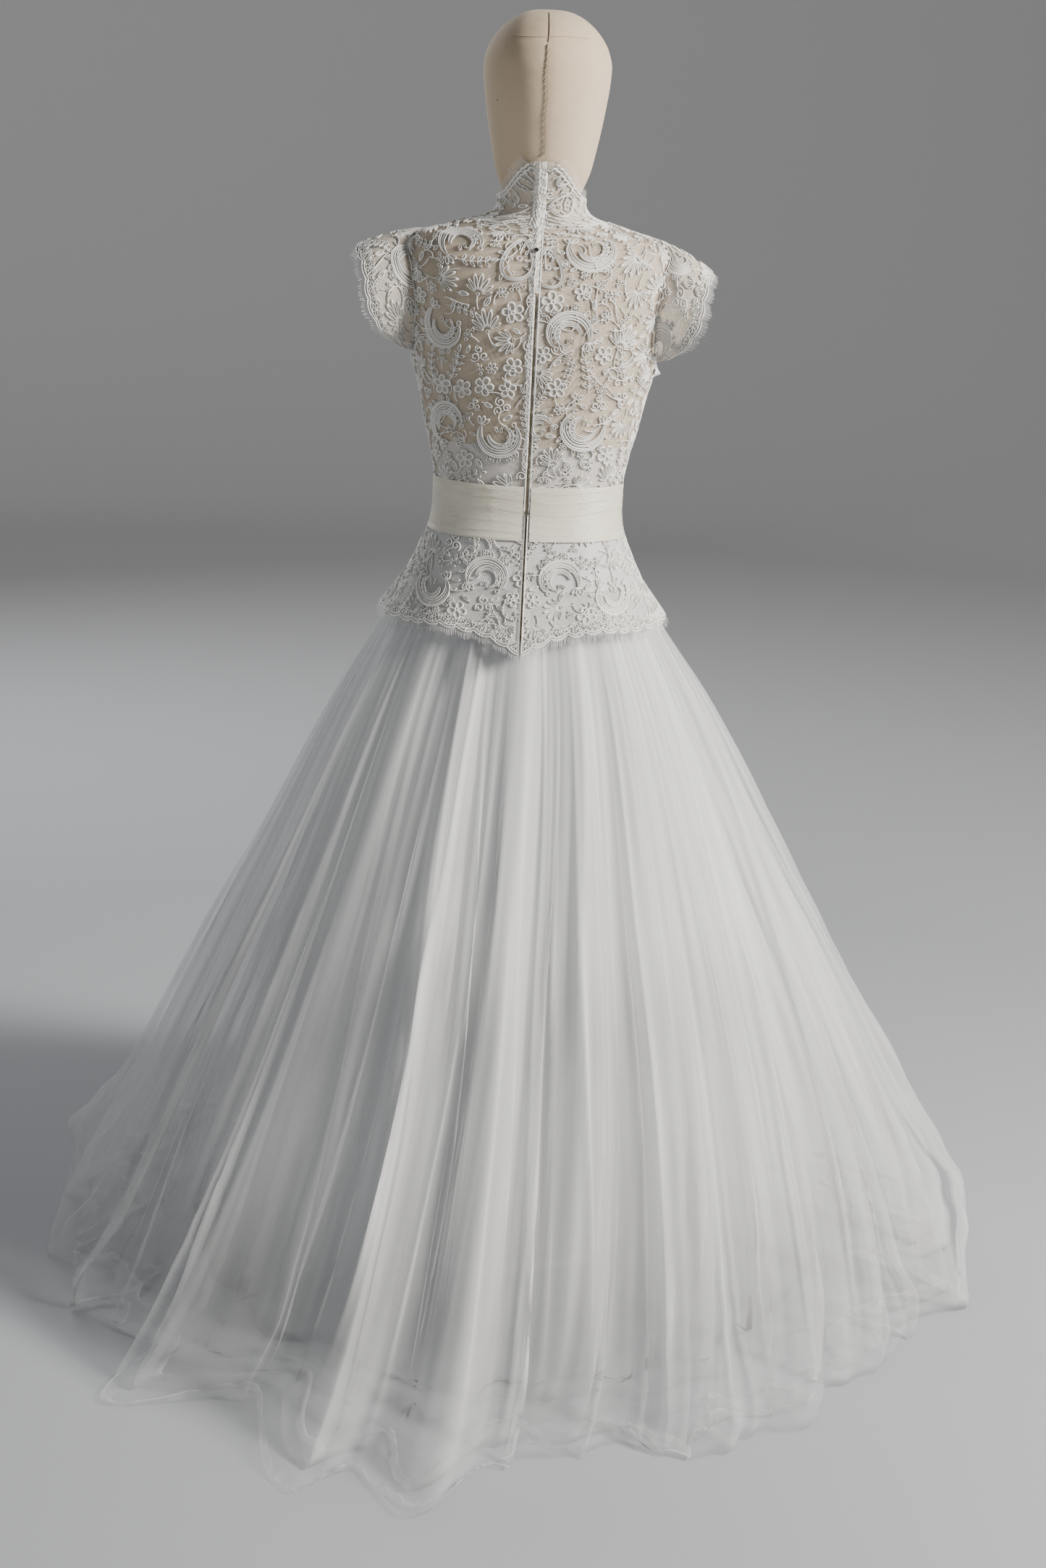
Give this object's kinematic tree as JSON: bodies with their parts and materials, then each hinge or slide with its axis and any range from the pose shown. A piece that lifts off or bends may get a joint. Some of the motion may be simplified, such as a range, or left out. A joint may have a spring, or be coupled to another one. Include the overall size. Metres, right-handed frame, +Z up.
{
  "type": "tulle dress on dress form",
  "caption": "Floor-length tulle dress with a lace bodice, cap sleeves, sash and short peplum, closed by a back zip, on a limbless canvas dress form with a round foot.",
  "frame": {"origin": "middle of the underside of the stand's foot, on the floor", "axes": "+Z up, the dress's back with its zip faces -Y, the wearer's left is -X"},
  "size_m": [1.2285, 1.4158, 1.612],
  "materials": {
    "steel": "satin white paint",
    "canvas": "beige plain-weave canvas",
    "lace": "white corded lace on beige net",
    "satin": "cool white satin",
    "organza": "champagne organza over satin",
    "tape": "woven zip tape with fine teeth",
    "stud": "dark pressed metal",
    "tulle": "sheer white tulle",
    "lining": "white lining"
  },
  "bodies": {
    "root": {"stand_foot": "steel", "stand_pole": "steel", "form_torso": "canvas", "form_head": "canvas", "satin_underlay": "satin", "bodice_back_left": "lace", "bodice_back_right": "lace", "bodice_front": "lace", "collar": "lace", "fringe_collar": "lace", "sleeve_left": "lace", "fringe_sleeve_left": "lace", "sleeve_right": "lace", "fringe_sleeve_right": "lace", "peplum_left": "lace", "fringe_peplum_left": "lace", "peplum_right": "lace", "fringe_peplum_right": "lace", "armhole_binding_left": "satin", "armhole_binding_right": "satin", "sash": "organza", "zip": "tape", "placket": "lace", "press_stud": "stud", "tulle_outer": "tulle", "tulle_middle": "tulle", "tulle_inner": "tulle", "underskirt": "lining"}
  },
  "joints": []
}
